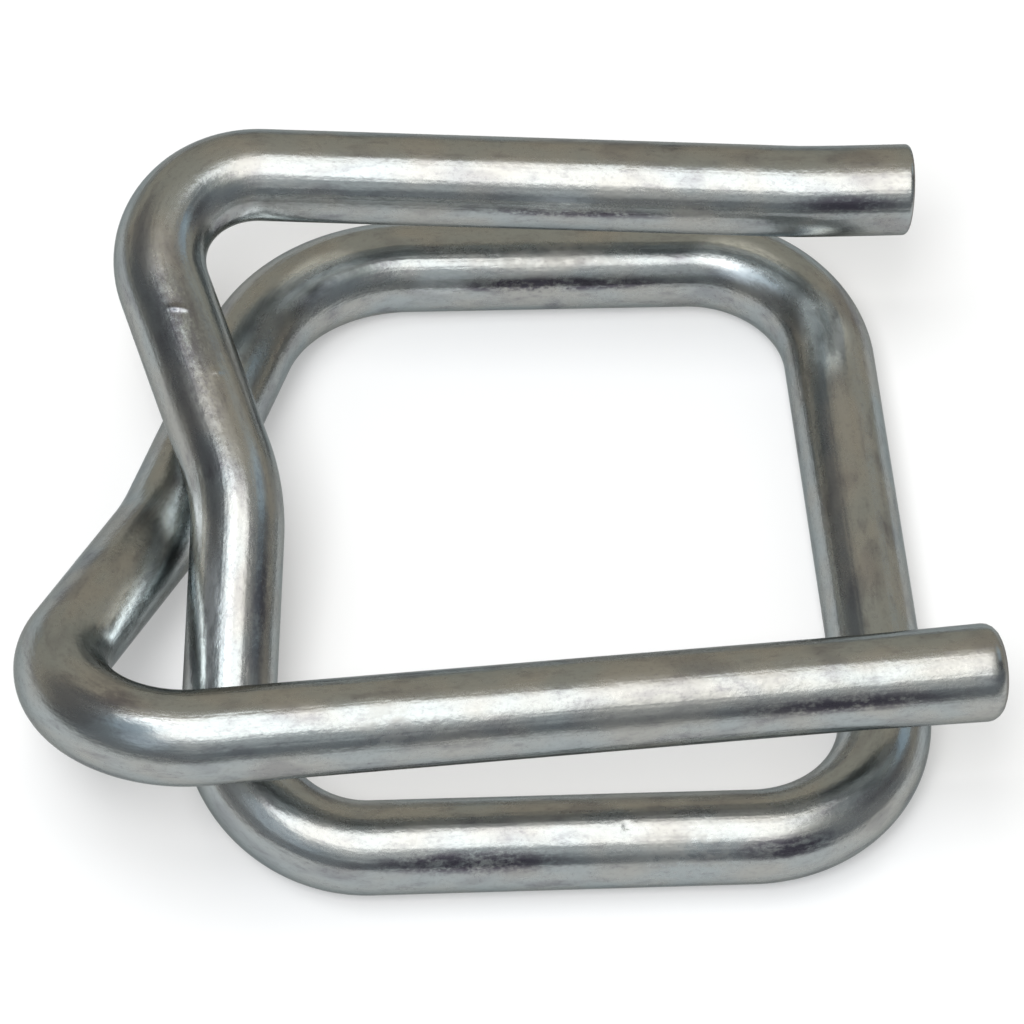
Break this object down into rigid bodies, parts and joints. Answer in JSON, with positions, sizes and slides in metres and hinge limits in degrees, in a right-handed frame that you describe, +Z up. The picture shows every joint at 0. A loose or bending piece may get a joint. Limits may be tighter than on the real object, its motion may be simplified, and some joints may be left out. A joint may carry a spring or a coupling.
{
  "type": "strapping buckle",
  "caption": "Wire strapping buckle: round wire bent into a frame whose crossed ends turn back over it as prongs that hold the loops of a strap.",
  "frame": {"origin": "bottom centre of the bounding box, on the surface the frame lies on", "axes": "+X along the prongs towards their free ends, +Y from the front bar to the back bar, +Z up from the frame to the prongs"},
  "size_m": [0.0362, 0.0306, 0.0098],
  "materials": {
    "zinc_wire": "satin zinc coating on drawn wire"
  },
  "bodies": {
    "root": {"buckle_wire": "zinc_wire"}
  },
  "joints": []
}
